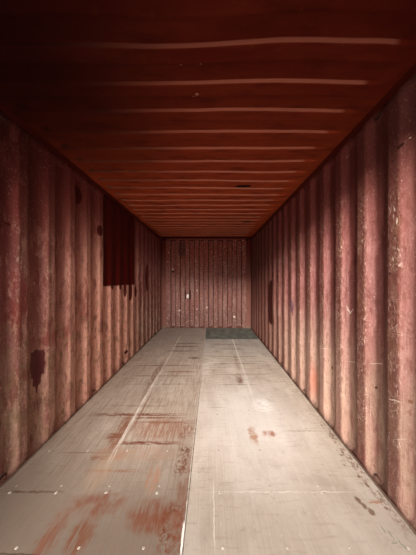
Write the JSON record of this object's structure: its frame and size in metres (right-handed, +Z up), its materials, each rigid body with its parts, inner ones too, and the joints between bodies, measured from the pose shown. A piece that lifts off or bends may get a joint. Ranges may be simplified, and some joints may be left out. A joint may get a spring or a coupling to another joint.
{
  "type": "shipping container",
  "caption": "Corrugated steel dry freight container with plywood floor, corner castings, fork pockets and open double end doors.",
  "frame": {"origin": "middle of the footprint, at the level of the feet of the bottom corner castings", "axes": "+X across the box to the right when looking in through the doors, +Y along the box from the doors to the closed front end, +Z up"},
  "size_m": [2.7666, 6.058, 2.591],
  "materials": {
    "wall_paint": "worn red oxide paint on weathering steel sheet",
    "roof_paint": "worn red oxide paint with rust",
    "frame_paint": "worn red oxide paint on rolled and pressed steel",
    "door_paint": "worn red oxide paint",
    "cast_steel_paint": "red oxide paint over cast steel, chipped",
    "underframe_coating": "dark wax coating over oxide primer",
    "plywood": "scuffed hardwood plywood, dry",
    "replacement_plywood": "newer board with a dark grey-green film, dusty",
    "floor_steel": "scuffed, dusty",
    "galvanised_steel": "hot dip galvanised, dull",
    "gasket_rubber": "moulded, matt",
    "vent_plastic": "moulded, painted over"
  },
  "bodies": {
    "root": {"castings_bottom_left": "cast_steel_paint", "castings_bottom_right": "cast_steel_paint", "castings_top_left": "cast_steel_paint", "castings_top_right": "cast_steel_paint", "front_post_left": "frame_paint", "front_post_right": "frame_paint", "door_post_left": "frame_paint", "door_post_right": "frame_paint", "bottom_rail_left": "frame_paint", "bottom_rail_right": "frame_paint", "top_rail_left": "frame_paint", "top_rail_right": "frame_paint", "front_sill": "frame_paint", "front_header": "frame_paint", "door_sill": "frame_paint", "door_header": "frame_paint", "door_frame_corners": "door_paint", "side_wall_left": "wall_paint", "side_wall_right": "wall_paint", "front_wall": "wall_paint", "roof": "roof_paint", "roof_end_plates": "frame_paint", "roof_corner_plates": "frame_paint", "cross_members": "underframe_coating", "fork_pockets": "underframe_coating", "floor_boards_left": "plywood", "floor_boards_right": "plywood", "replacement_board": "replacement_plywood", "floor_centre_strip": "floor_steel", "floor_edge_bars": "floor_steel", "lashing_rings": "galvanised_steel", "ventilators": "vent_plastic", "cam_keepers": "galvanised_steel", "door_frame_left": "door_paint", "door_panel_left": "door_paint", "door_gasket_left": "gasket_rubber", "door_hinges_left": "frame_paint", "lock_rods_left": "galvanised_steel", "door_handles_left": "galvanised_steel", "door_frame_right": "door_paint", "door_panel_right": "door_paint", "door_gasket_right": "gasket_rubber", "door_hinges_right": "frame_paint", "lock_rods_right": "galvanised_steel", "door_handles_right": "galvanised_steel"}
  },
  "joints": []
}
